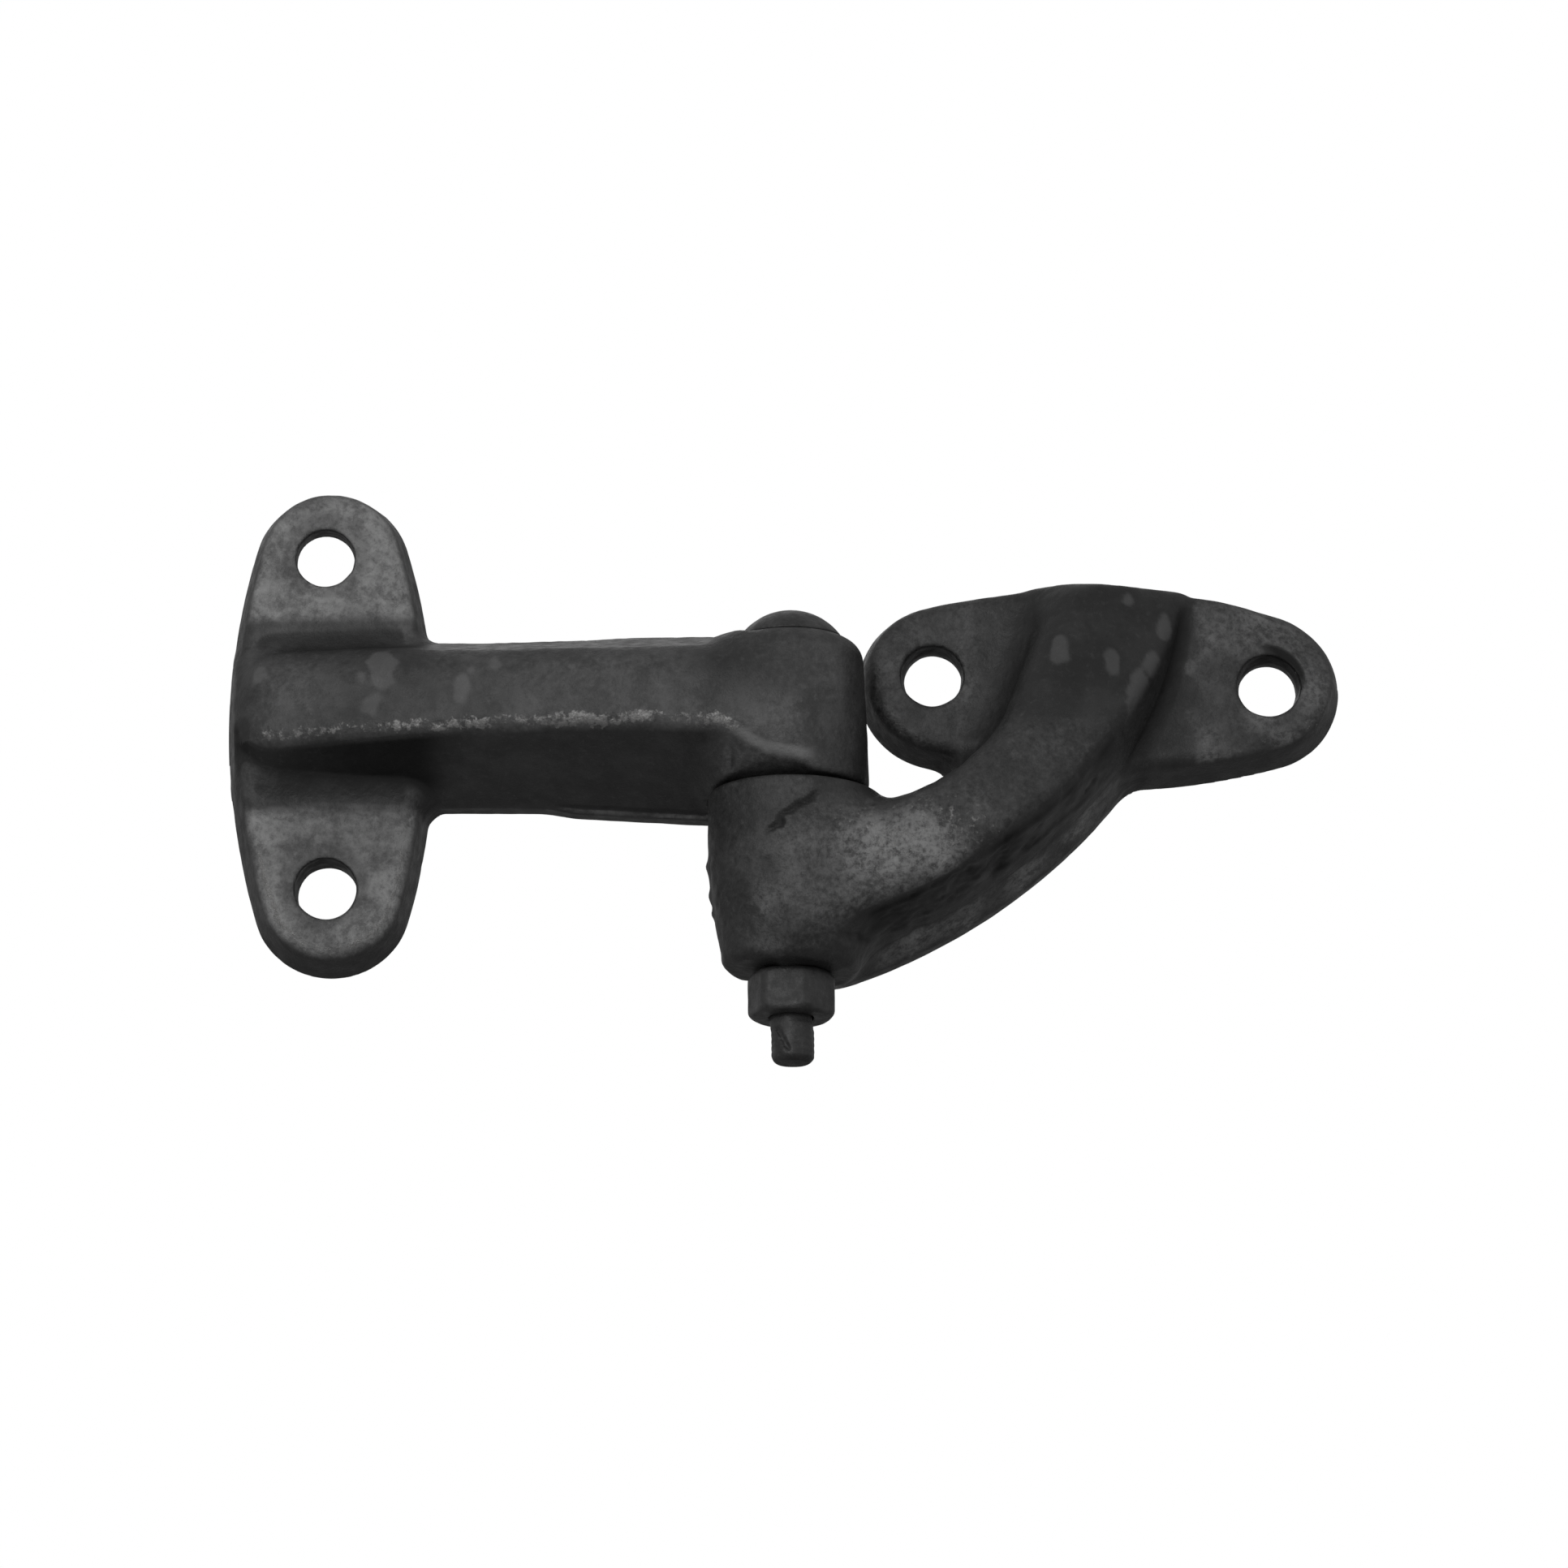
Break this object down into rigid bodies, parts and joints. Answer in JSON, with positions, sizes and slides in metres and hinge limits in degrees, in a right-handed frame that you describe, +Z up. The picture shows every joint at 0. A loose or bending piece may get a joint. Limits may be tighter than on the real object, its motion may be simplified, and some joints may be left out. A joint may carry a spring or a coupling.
{
  "type": "t hinge",
  "caption": "Heavy cast T hinge: an upright oval leaf with a thick arm and a cranked offset leaf, joined at two knuckles by a nutted pivot bolt.",
  "frame": {"origin": "midway between the T leaf's two bolt holes, on its mounting face", "axes": "+X from the T leaf along its arm to the pivot and the offset leaf, +Y into the surface it is bolted to, +Z up along the pivot bolt towards its head"},
  "size_m": [0.2502, 0.0369, 0.1379],
  "materials": {
    "painted_iron": "satin black paint over rough sand-cast iron, worn on the front edges",
    "painted_steel": "satin black paint over steel"
  },
  "bodies": {
    "fixed_leaf": {"t_leaf": "painted_iron", "pivot_bolt": "painted_steel", "hex_nut": "painted_steel"},
    "swing_leaf": {"offset_leaf": "painted_iron"}
  },
  "joints": [
    {"name": "pivot", "type": "hinge", "parent": "fixed_leaf", "child": "swing_leaf", "pos_m": [0.105, -0.0185, -0.04], "axis": [0, 0, -1], "range_deg": [-65, 134]}
  ]
}
